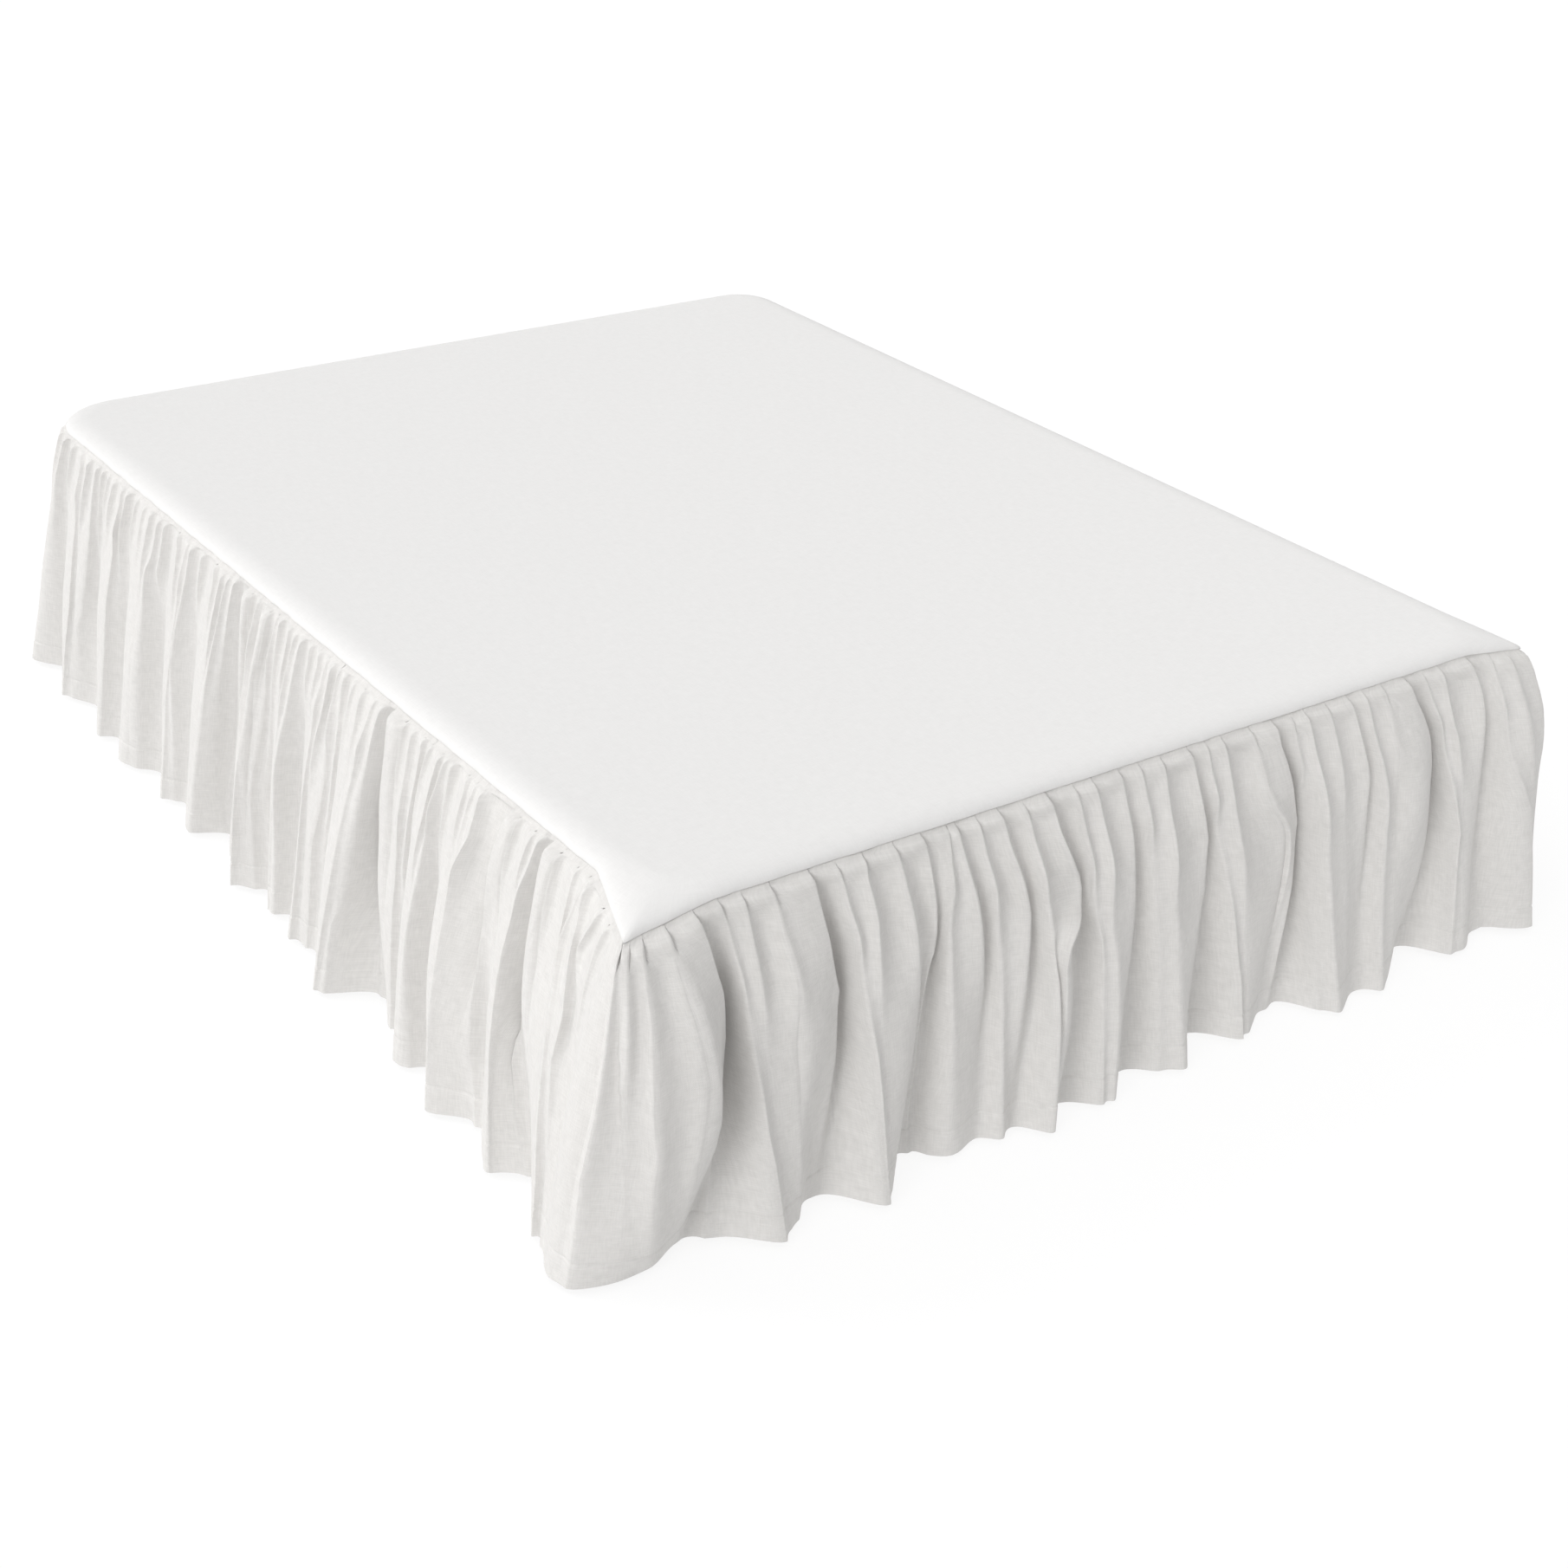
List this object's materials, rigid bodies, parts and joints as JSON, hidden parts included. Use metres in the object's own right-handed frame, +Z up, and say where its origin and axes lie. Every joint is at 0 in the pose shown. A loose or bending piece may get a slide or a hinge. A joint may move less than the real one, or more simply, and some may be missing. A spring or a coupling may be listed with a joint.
{
  "type": "bed skirt on a bed base",
  "caption": "Gathered bed skirt with a flat deck and a deep knife-gathered ruffle round both sides and the foot, on a plain padded bed base with round legs.",
  "frame": {"origin": "on the floor, under the middle of the whole skirt's outline", "axes": "+Z up, +Y towards the head of the bed, +X towards its right side as seen from the foot"},
  "size_m": [1.795, 2.2339, 0.489],
  "materials": {
    "deck_cotton": "smooth plain-woven white cotton",
    "ruffle_cotton": "plain-woven white cotton, gathered and unpressed",
    "base_cover": "matt ticking over padding",
    "leg_wood": "satin turned beech"
  },
  "bodies": {
    "root": {"deck": "deck_cotton", "ruffle": "ruffle_cotton", "bed_base": "base_cover", "leg_foot_left": "leg_wood", "leg_foot_right": "leg_wood", "leg_middle_left": "leg_wood", "leg_middle_right": "leg_wood", "leg_head_left": "leg_wood", "leg_head_right": "leg_wood"}
  },
  "joints": []
}
